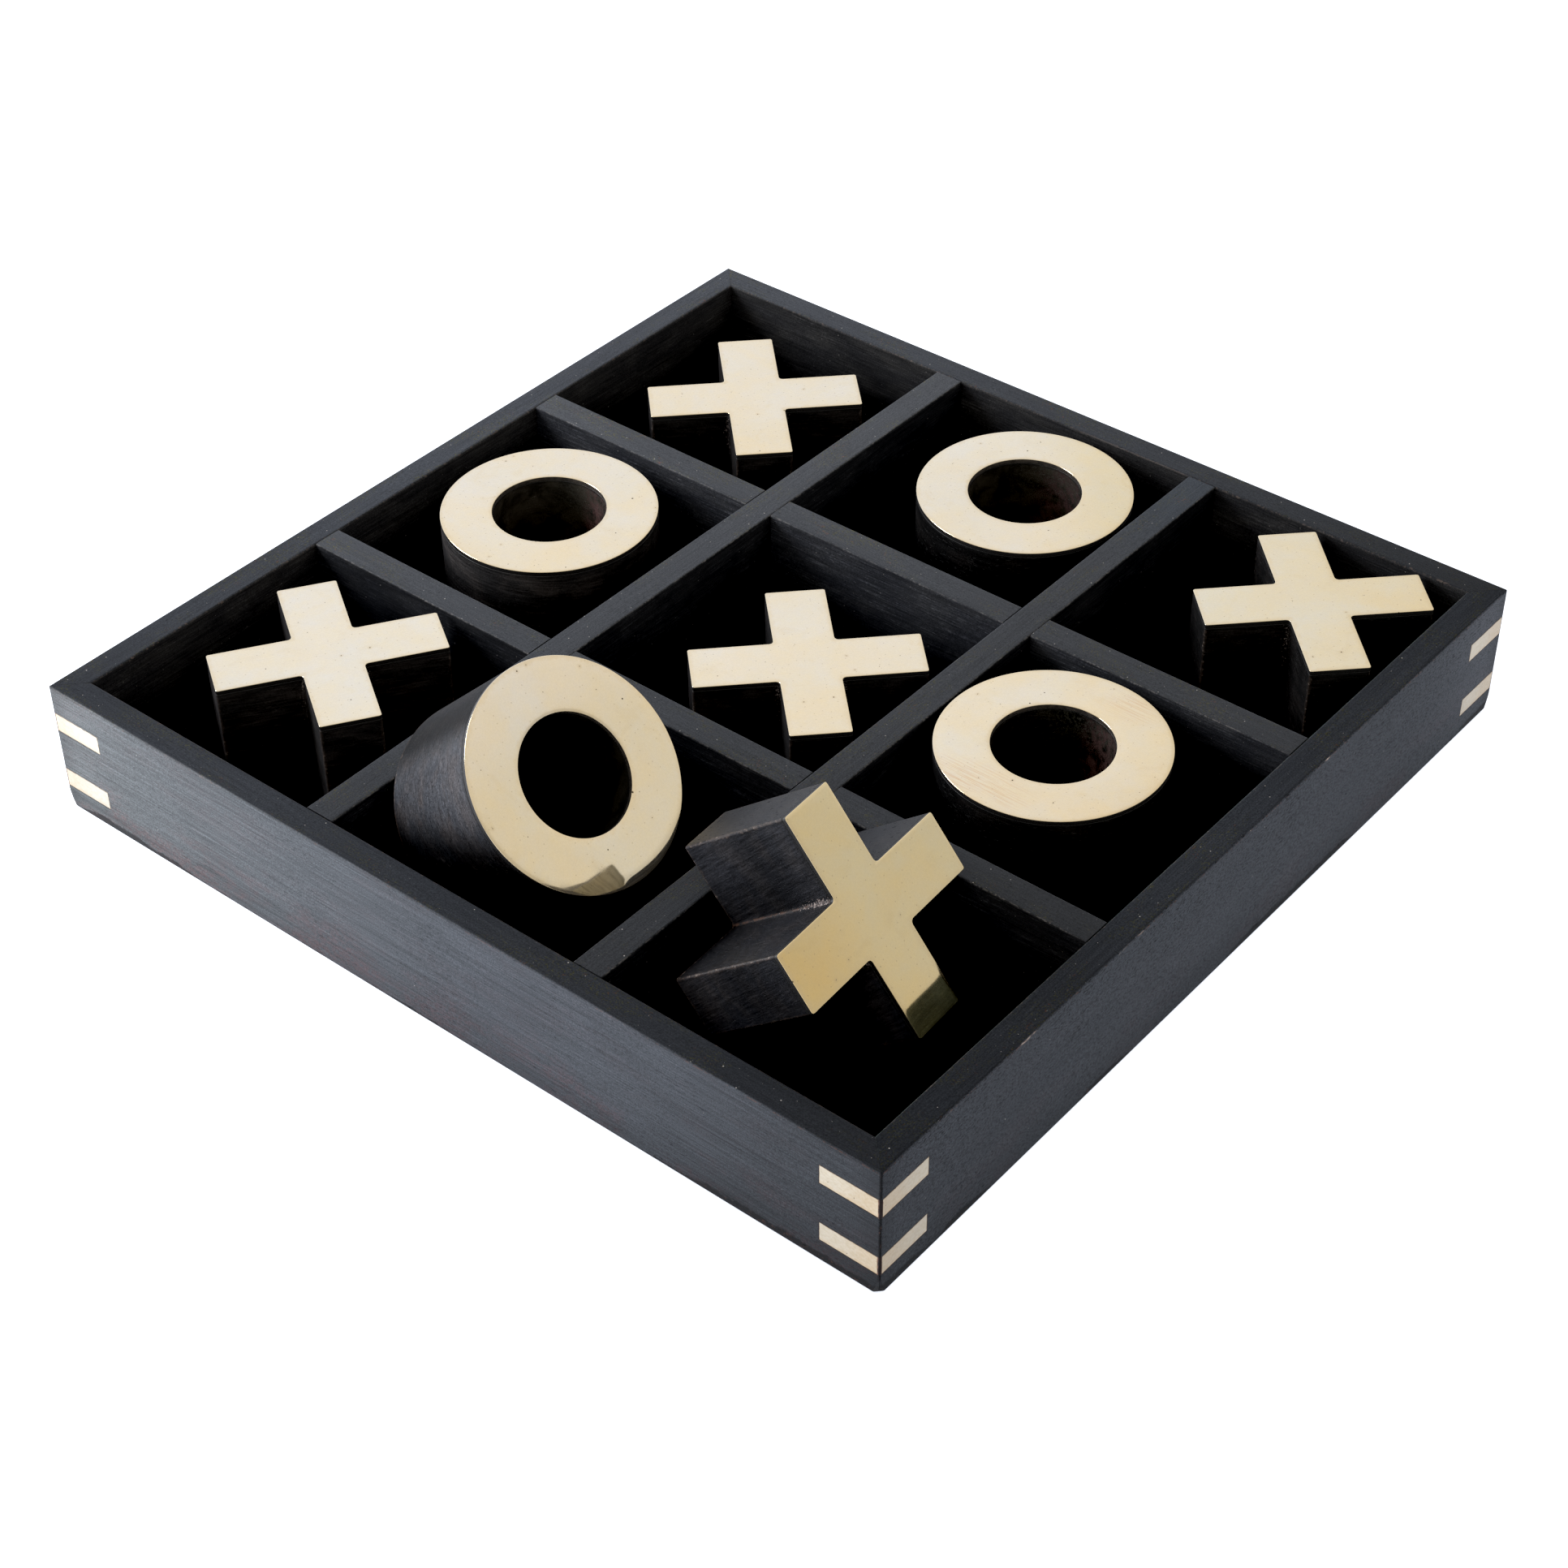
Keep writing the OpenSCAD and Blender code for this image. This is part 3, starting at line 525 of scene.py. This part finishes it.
# ---------------------------------------------------------------- brass
# each plate's painted reflection: a tint for it, and which way across it (in its own frame) that sets in; 0, 0 is all
# over
PLATE_PAINTED_LIGHT = {
    "x_1": ((0.0, 0.0, (1.0, 1.03, 1.09)),),
    "x_4": ((0.0, 0.0, (0.97, 1.0, 1.03)),),
    "x_5": ((0.0, 0.0, (1.0, 0.99, 0.91)), (0.0, -1.0, (0.96, 0.95, 0.95))),
    "o_2": ((-1.0, 0.0, (1.04, 1.07, 1.18)),),
    "o_3": ((-0.63, 0.77, (1.0, 1.04, 1.12)), (0.77, 0.63, (0.96, 0.96, 0.91))),
    "o_4": ((0.63, -0.77, (0.98, 0.95, 0.90)),),
}


def plate(name, key, seed, warm_reflection, warmth):
    """Polished pale brass: hairline scratches, small pits, faint stains. The edge of the plate is blackened like the
    wood.
    age is how much yellower its colour is made, and warmth the direction on the plate in which it is made warmer still,
    and how much: both are painted warm reflection."""
    t = Tree(name)
    loc, rot = PLACES[key]
    L = t.frame_of(loc, rot)
    lx, ly, lz = t.xyz(L)
    S = t.stretch(L, (1, 1, 1), (seed * 71.3, seed * 37.9, 0))
    up = rot @ Vector((0, 0, 1))
    nx, ny, nz = t.normal()
    facing = t.add(t.mul(nx, up.x), t.mul(ny, up.y), t.mul(nz, up.z))
    face = t.ramp(facing, 0.25, 0.55)
    if key[0] == "x":
        a, b = t.big(t.absv(lx), t.absv(ly)), t.small(t.absv(lx), t.absv(ly))
        # how far a point lies inside the cross: from an arm's end or flank, or from the inner corner
        rim = t.small(t.sub(X_HALF, a), t.big(t.sub(X_ARM, b), t.mul(t.hyp(t.big(t.sub(X_ARM, a), 0.0), t.big(t.sub(X_ARM, b), 0.0)), 1.0)))
    else:
        r = t.hyp(lx, ly)
        rim = t.small(t.sub(O_R, r), t.sub(r, O_HOLE))

    cloud = t.noise(t.stretch(S, (0.05, 0.05, 0.05)), 1.0, 4.0, 0.55, 0.8)
    mottle = t.noise(t.stretch(S, (0.30, 0.30, 0.30), (4, 4, 4)), 1.0, 3.0, 0.65)
    grain = t.noise(t.stretch(S, (1.7, 1.7, 1.7), (7, 1, 7)), 1.0, 3.0, 0.75)
    stain = t.ramp(t.noise(t.stretch(S, (0.09, 0.09, 0.09), (5, 9, 2)), 1.0, 5.0, 0.6, 1.2), 0.54, 0.74)
    pd, pc = t.cells(t.vec(t.add(lx, 3.3 * seed), t.add(ly, 8.1 * seed), 0.0), 0.13, flat=True)
    pcx = t.xyz(pc)
    pick = t.ramp(pcx[0], 0.67, 0.69)
    psize = t.lerp(t.mul(pcx[1], pcx[1], pcx[1]), 0.016, 0.042)
    pit = t.mul(t.ramp(t.sub(pd, psize), -0.010, 0.010, 1.0, 0.0), pick)
    halo = t.mul(t.ramp(pd, 0.02, 0.14, 1.0, 0.0), pick, t.ramp(pcx[2], 0.4, 0.8))
    qd, qc = t.cells(t.vec(t.add(lx, 5.7 * seed), t.add(ly, 2.9 * seed), 0.0), 0.42, flat=True)
    dust = t.mul(t.ramp(qd, 0.05, 0.11, 1.0, 0.0), t.ramp(t.xyz(qc)[0], 0.74, 0.78))
    scr_a = t.noise(t.stretch(t.turn(S, (0, 0, 24 + 31 * seed)), (0.025, 5.0, 1.0)), 1.0, 3.0, 0.7)
    scr_b = t.noise(t.stretch(t.turn(S, (0, 0, -48 + 17 * seed)), (0.04, 7.0, 1.0), (3, 1, 0)), 1.0, 2.0, 0.7)
    line = t.ramp(t.absv(t.sub(scr_a, 0.5)), 0.0, 0.012, 1.0, 0.0)
    line2 = t.ramp(t.absv(t.sub(scr_b, 0.5)), 0.0, 0.008, 1.0, 0.0)
    wob = t.noise(t.stretch(S, (0.5, 0.5, 0.5), (2, 6, 0)), 1.0, 3.0, 0.6)

    c0 = Vector((0.845, 0.745, 0.545)).lerp(Vector((0.905, 0.765, 0.505)), warm_reflection)
    c1 = Vector((0.875, 0.790, 0.625)).lerp(Vector((0.925, 0.800, 0.560)), warm_reflection)
    brass = t.mix(cloud, c0, c1)
    m = t.ramp(mottle, 0.30, 0.70, smooth=False)
    brass = t.mix(1.0, brass, t.mix(m, (1.010, 1.0, 0.965), (0.985, 0.995, 1.03)), "MULTIPLY")
    hue = t.noise(t.stretch(S, (0.038, 0.038, 0.038), (3, 8, 1)), 1.0, 3.0, 0.55, 0.6)
    brass = t.mix(1.0, brass, t.mix(t.ramp(hue, 0.34, 0.66), (0.988, 1.002, 1.045), (1.018, 0.982, 0.925)), "MULTIPLY")
    g = t.lerp(t.ramp(grain, 0.25, 0.75, smooth=False), 0.965, 1.035)
    brass = t.mix(1.0, brass, t.vec(g, g, g), "MULTIPLY")
    brass = t.mix(t.mul(stain, 0.34), brass, (0.80, 0.66, 0.43))
    # painted warm reflection: a warmer tone towards one side of the plate
    warm = t.ramp(t.add(t.mul(lx, warmth[0]), t.mul(ly, warmth[1])), -8.0, 34.0)
    brass = t.mix(t.mul(warm, warmth[2]), brass, t.mix(1.0, brass, (1.0, 0.865, 0.58), "MULTIPLY"))
    # painted reflection: each plate's own tints
    for dx, dy, painted_tint in PLATE_PAINTED_LIGHT.get(key, ()):
        part = t.ramp(t.add(t.mul(lx, dx), t.mul(ly, dy)), 2.0, 28.0) if dx or dy else 1.0
        brass = t.mix(part, brass, t.mix(1.0, brass, painted_tint, "MULTIPLY"))
    brass = t.mix(t.mul(halo, 0.40), brass, (0.70, 0.55, 0.34))
    tan = t.ramp(t.add(rim, t.mul(t.sub(wob, 0.5), 3.2)), 0.2, 1.8, 1.0, 0.0)
    brass = t.mix(t.mul(tan, 0.40), brass, (0.78, 0.62, 0.38))
    # short parallel rubbing marks in a few places
    worn = t.ramp(t.noise(t.stretch(S, (0.07, 0.07, 0.07), (9, 2, 2)), 1.0, 3.0, 0.6), 0.58, 0.70)
    brass = t.mix(t.mul(worn, t.big(line, line2), 0.35), brass, (0.74, 0.56, 0.36))
    brass = t.mix(t.mul(dust, 0.35), brass, (0.42, 0.33, 0.22))
    brass = t.mix(t.mul(pit, 0.9), brass, (0.06, 0.04, 0.025))
    if key == "o_4":
        # orange-brown rubbing marks in two places on its rim
        fine = t.ramp(t.noise(t.stretch(L, (0.06, 2.6, 1.0), (3, 3, 0)), 1.0, 3.0, 0.7), 0.47, 0.62)
        at = t.big(t.ramp(t.hyp(t.mul(t.add(lx, 6.0), 0.7), t.mul(t.add(ly, 27.0), 1.5)), 4.0, 15.0, 1.0, 0.0),
                   t.ramp(t.hyp(t.mul(t.sub(lx, 8.0), 0.9), t.mul(t.sub(ly, 27.0), 1.3)), 3.0, 11.0, 0.8, 0.0))
        brass = t.mix(t.mul(fine, at, 0.60), brass, (0.72, 0.47, 0.28))
    edging = (0.013, 0.012, 0.012)
    if key[0] == "o":
        # the plate's edge inside the hole: a paler grey, uneven round the hole, as painted dull reflection of the brass
        # there
        hole_edge_reflection = t.mul(t.ramp(r, 18.4, 19.4, 1.0, 0.0), t.ramp(wob, 0.36, 0.62, 0.35, 1.0))
        edging = t.mix(hole_edge_reflection, edging, (0.062, 0.053, 0.045))
    t.set("Base Color", t.mix(face, edging, brass))
    t.set("Metallic", t.ramp(face, 0.3, 0.8))
    r = t.add(0.035, t.mul(cloud, 0.03), t.mul(stain, 0.06), t.mul(line, 0.05), t.mul(line2, 0.04), t.mul(pit, 0.4), t.mul(tan, 0.05))
    t.set("Roughness", t.lerp(face, 0.5, r))
    # not quite flat, and rolled off towards its edges by the polishing wheel
    wave = t.noise(t.stretch(S, (0.04, 0.04, 0.04), (1, 7, 0)), 1.0, 1.0, 0.4)
    roll = t.ramp(rim, 0.0, 3.4 if key[0] == "x" else 4.2, 1.0, 0.0, smooth=False)
    edge = t.ramp(rim, 0.0, 1.2, 1.0, 0.0, smooth=False)
    k = (-0.13, -0.12) if key[0] == "x" else (-0.36, -0.26)
    if key == "o_2":
        # rolled off further at its lowest point
        k = (t.mul(k[0], t.add(1.0, t.mul(t.ramp(lx, 23.0, 31.0), t.ramp(ly, -9.0, -3.0), 2.4))), k[1])
    h = t.add(t.mul(wave, 0.9), t.mul(roll, roll, k[0]), t.mul(edge, edge, k[1]), t.mul(grain, 0.0015), t.mul(scr_a, 0.0012), t.mul(scr_b, 0.001), t.mul(pit, -0.08))
    t.set("Normal", t.bump(h, 0.25, 1.0))
    return t.mat


def strip(name, seed, c0, c1):
    """The pale metal strips let into the corners: brushed, with a dark line where they meet the wood."""
    t = Tree(name)
    P = t.frame_of((0, 0, 0), Matrix.Identity(3))
    px, py, pz = t.xyz(P)
    ax, ay = t.absv(px), t.absv(py)
    along = t.small(ax, ay)
    S = t.stretch(P, (1, 1, 1), (seed * 31.7, seed * 17.3, seed * 5.1))
    dz = t.small(t.absv(t.sub(t.absv(t.sub(pz, INLAY_Z[0] + INLAY_H2)), INLAY_H2)), t.absv(t.sub(t.absv(t.sub(pz, INLAY_Z[1] + INLAY_H2)), INLAY_H2)))
    rim = t.small(dz, t.small(t.absv(t.sub(along, INLAY_IN)), t.absv(t.sub(W2 - 0.8, along))))
    wob = t.noise(t.stretch(S, (0.7, 0.7, 0.7)), 1.0, 3.0, 0.6)
    dark = t.ramp(t.add(rim, t.mul(t.sub(wob, 0.5), 0.45)), 0.02, 0.20, 1.0, 0.0)
    cloud = t.noise(t.stretch(S, (0.22, 0.22, 0.4)), 1.0, 4.0, 0.6)
    brush = t.noise(t.stretch(S, (0.5, 0.5, 9.0)), 1.0, 3.0, 0.6)
    sd, sc = t.cells(t.stretch(S, (0.5, 0.5, 0.5)), 1.0)
    pit = t.mul(t.ramp(sd, 0.05, 0.12, 1.0, 0.0), t.ramp(t.xyz(sc)[0], 0.84, 0.87))
    col = t.mix(cloud, c0, c1)
    mottle = t.noise(t.stretch(S, (0.9, 0.9, 1.3), (2, 7, 4)), 1.0, 4.0, 0.7)
    col = t.mix(1.0, col, t.mix(t.ramp(mottle, 0.32, 0.68, smooth=False), (1.075, 1.09, 1.13), (0.925, 0.89, 0.82)), "MULTIPLY")
    near = t.mul(t.ramp(t.add(along, t.mul(t.sub(cloud, 0.5), 9.0)), W2 - 15.0, W2 - 3.0), 0.85)
    col = t.mix(near, col, t.mix(1.0, col, (0.94, 0.86, 0.77), "MULTIPLY"))
    foot = t.ramp(t.add(t.small(t.sub(pz, INLAY_Z[0]), t.absv(t.sub(pz, INLAY_Z[1]))), t.mul(t.sub(wob, 0.5), 2.5)), 0.2, 1.6, 1.0, 0.0)
    col = t.mix(t.mul(foot, 0.35), col, t.mix(1.0, col, (0.98, 0.80, 0.58), "MULTIPLY"))
    col = t.mix(t.mul(dark, 0.65), col, srgb("5a3a22"))
    col = t.mix(t.mul(pit, 0.8), col, srgb("4a2c1c"))
    t.set("Base Color", col)
    t.bsdf.inputs["Metallic"].default_value = 1.0
    t.set("Roughness", t.add(0.28, t.mul(brush, 0.14), t.mul(dark, 0.3)))
    t.set("Normal", t.bump(t.add(t.mul(brush, 0.4), t.mul(pit, -1.0)), 0.02, 0.7))
    return t.mat


def turned(deg):
    return Matrix.Rotation(math.radians(deg), 3, "Z")


def dress(n, material):
    NODES[n].data.materials.clear()
    NODES[n].data.materials.append(material)


RAILS = (("rail_front", 0, 0.06, (0.028, 0.027, 0.018), (0.126, 0.072, 0.038), 0.0, (1.5, 4.0, 36.0), (1, 1, 1)), ("rail_right", 90, 0.02, (0.018, 0.030, 0.026), (0.0355, 0.0400, 0.0640), 1.0, (6.3, 9.0, 18.0), (0.81, 1.0, 0.90)),
         ("rail_back", 180, 0.10, (0.015, 0.040, 0.058), (0.036, 0.042, 0.048), 0.0, (2.2, 4.0, 36.0), (1, 1, 1)), ("rail_left", 270, 0.08, (0.060, 0.050, 0.026), (0.048, 0.058, 0.068), 0.0, (2.4, 4.0, 36.0), (1, 1, 1)))
for i, (n, a, spec, pale, side, pitted, wall_painted_light, tint) in enumerate(RAILS):
    dress(n, wood("wood_" + n, (0, 0, 0), turned(a), i + 1, "rail", spec, pale, side, pitted, wall_painted_light, tint))
for i, (n, a, k) in enumerate((("divider_long_left", 90, 1.4), ("divider_long_right", 90, 1.0), ("divider_cross_front", 0, 1.4), ("divider_cross_back", 0, 3.0))):
    dress(n, wood("wood_" + n, (0, 0, 0), turned(a), i + 5, "divider", 0.13, (0.020, 0.070), wall_painted_light=(k, 4.0, 36.0)))
dress("base_panel", wood("wood_base_panel", (0, 0, 0), Matrix.Identity(3), 9, "panel", 0.03))
# copies of one brass for the strips: darker on the right-hand side, and a little darker and cooler on the front-left
# strips, as painted shade
BRIGHT = strip("strip_brass", 1, (0.505, 0.440, 0.338), (0.580, 0.515, 0.405))
FRONT_LEFT_SHADED_STRIP = strip("strip_brass_rubbed", 3, (0.44, 0.405, 0.335), (0.51, 0.475, 0.40))
RIGHT_SHADED_STRIP = strip("strip_brass_right_shaded", 2, (0.305, 0.262, 0.200), (0.380, 0.330, 0.250))
for n in NODES:
    if n.startswith("inlay_"):
        dress(n, RIGHT_SHADED_STRIP if n.startswith("inlay_right") else FRONT_LEFT_SHADED_STRIP if n.startswith("inlay_front_left") else BRIGHT)
for i, (key, (loc, rot)) in enumerate(PLACES.items()):
    kind, num = key.split("_")
    b, p = "%s_block_%s" % (kind, num), "%s_plate_%s" % (kind, num)
    dress(b, wood("wood_" + b, loc, rot, i + 11, "x_tall" if key == "x_5" else kind, {"x_5": 0.24, "o_2": 0.12}.get(key, 0.32)))
    right = key in ("o_3", "o_4", "x_4")
    near = rot.inverted() @ Vector((0.8, 0.6, 0.0) if right else (0.6, -0.8, 0.0))
    warmth = {"x_5": (0.3, -1.0, 0.66), "o_2": (0.3, -0.9, 0.10)}.get(key, (near.x, near.y, 0.34 if right else 0.22))
    dress(p, plate("brass_" + p, key, i + 1, {"x_5": 1.0, "o_2": 0.22, "x_4": 0.25, "o_4": 0.15}.get(key, 0.0), warmth))


# ---------------------------------------------------------------- rounded edges
def soften(o, width, segments=3, angle=30, clamp=True):
    """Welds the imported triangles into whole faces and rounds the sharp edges, by modifiers only.
    Clamping would take a rail's rounding away altogether, because of the short edges round its pockets."""
    w = o.modifiers.new("weld", "WELD")
    w.merge_threshold = 1e-6
    d = o.modifiers.new("flat", "DECIMATE")
    d.decimate_type = "DISSOLVE"
    d.angle_limit = math.radians(0.4)
    b = o.modifiers.new("round", "BEVEL")
    b.width = width / 1000
    b.segments = segments
    b.limit_method = "ANGLE"
    b.angle_limit = math.radians(angle)
    b.miter_outer = "MITER_ARC"
    b.use_clamp_overlap = clamp
    c = o.modifiers.new("clean", "WELD")
    c.merge_threshold = 1e-6
    n = o.modifiers.new("normals", "WEIGHTED_NORMAL")
    n.mode = "FACE_AREA"
    n.weight = 80
    n.keep_sharp = False


for n, o in NODES.items():
    if n.startswith("rail_"):
        soften(o, 0.10, 2, clamp=False)
    elif n.startswith("divider_"):
        soften(o, 0.15, 2)
    elif n.startswith("inlay_"):
        soften(o, 0.10, 2)
    elif "_plate_" in n:
        soften(o, 0.22, 3)
    elif "_block_" in n:
        soften(o, 0.20, 2)

# ---------------------------------------------------------------- floor, light, camera
bpy.ops.mesh.primitive_plane_add(size=12, location=(0, 0, -0.0002))
floor = bpy.context.object
floor.name = "floor"
fm = bpy.data.materials.new("floor")
fm.use_nodes = True
fb = fm.node_tree.nodes["Principled BSDF"]
fb.inputs["Base Color"].default_value = (0.82, 0.84, 0.88, 1)
fb.inputs["Roughness"].default_value = 0.9
fb.inputs["Specular IOR Level"].default_value = 0.0
# the floor glows like a light table: a painted pool of light on the left in front, painted shade a little dimmer close
# to the tray, and a little more glow on the right close to the tray
FT = Tree.__new__(Tree)
FT.nt = fm.node_tree
FT.coord = FT.nt.nodes.new("ShaderNodeTexCoord")
fx, fy, fz = FT.xyz(FT.coord.outputs["Object"])
away = FT.sub(FT.big(FT.absv(fx), FT.absv(fy)), 0.1525)
lift = FT.mul(FT.ramp(fx, 0.12, -0.20, smooth=False), FT.ramp(fy, -0.05, -0.16))
glow = FT.add(0.80, FT.mul(lift, 0.7))
glow = FT.mul(glow, FT.ramp(away, 0.0, 0.05, 0.86, 1.0))
glow = FT.add(glow, FT.mul(FT.ramp(fx, 0.150, 0.154), FT.ramp(away, 0.0, 0.20, 0.22, 0.0)))
FT.put(fb.inputs["Emission Strength"], glow)
fb.inputs["Emission Color"].default_value = (0.93, 0.98, 1.08, 1)
floor.data.materials.append(fm)

# A pale room: brightest behind on the left, dimmer and warmer on the right, with a bright band low on the left
world = bpy.data.worlds.new("studio")
SCENE.world = world
world.use_nodes = True
WT = Tree.__new__(Tree)
WT.nt = world.node_tree
WT.nt.nodes.clear()
WT.coord = WT.nt.nodes.new("ShaderNodeTexCoord")
wo = WT.nt.nodes.new("ShaderNodeOutputWorld")
bg = WT.nt.nodes.new("ShaderNodeBackground")
wx, wy, wz = WT.xyz(WT.coord.outputs["Generated"])


def towards(v):
    v = Vector(v).normalized()
    return WT.add(WT.mul(wx, v.x), WT.mul(wy, v.y), WT.mul(wz, v.z))


side = towards((-0.8, 0.3, 0.5))
sky = WT.mix(WT.ramp(side, -0.21, -0.12), (0.585, 0.570, 0.535), (0.745, 0.728, 0.690))
sky = WT.mix(WT.ramp(side, -0.12, 0.05), sky, (0.80, 0.775, 0.735))
sky = WT.mix(WT.ramp(side, 0.70, 0.95), sky, (0.96, 0.985, 1.07))
low = WT.mul(WT.ramp(wz, 0.12, 0.44, 1.0, 0.0), WT.ramp(towards((-0.9, 0.45, 0.0)), 0.45, 0.90))
sky = WT.mix(low, sky, (1.35, 1.45, 1.65))
WT.put(bg.inputs["Color"], sky)
bg.inputs["Strength"].default_value = 1.0
WT.nt.links.new(bg.outputs[0], wo.inputs["Surface"])


def softbox(name, loc, aim, size, power, colour=(1, 1, 1), shape="RECTANGLE", size_y=None):
    d = bpy.data.lights.new(name, "AREA")
    d.shape = shape
    d.size = size
    if size_y:
        d.size_y = size_y
    d.energy = power
    d.color = colour
    o = bpy.data.objects.new(name, d)
    o.location = loc
    o.rotation_euler = (Vector(aim) - Vector(loc)).to_track_quat("-Z", "Y").to_euler()
    SCENE.collection.objects.link(o)
    return o


# a soft light low on the left, close to that corner of the tray
left = softbox("left", (-0.62, -0.36, 0.34), (-0.22, -0.22, 0.0), 0.40, 5.0, (0.95, 0.98, 1.04), "RECTANGLE", 0.34)
left.visible_camera = False

cam_d = bpy.data.cameras.new("camera")
cam = bpy.data.objects.new("camera", cam_d)
SCENE.collection.objects.link(cam)
SCENE.camera = cam
cam_d.sensor_width = 36.0
cam_d.sensor_fit = "HORIZONTAL"
cam_d.lens = 69.635
cam.location = (0.45414, -0.55147, 0.57943)
cam.rotation_euler = [math.radians(a) for a in (50.3897, 0.4361, 39.3016)]
cam_d.clip_start, cam_d.clip_end = 0.02, 40

SCENE.view_settings.view_transform = "Standard"
SCENE.view_settings.look = "None"
SCENE.view_settings.exposure = 0.0
SCENE.view_settings.gamma = 1.0
SCENE.view_settings.use_curve_mapping = True
SCENE.view_settings.curve_mapping.black_level = (0.0035, 0.0035, 0.0035)
SCENE.view_settings.curve_mapping.update()

bpy.context.view_layer.update()
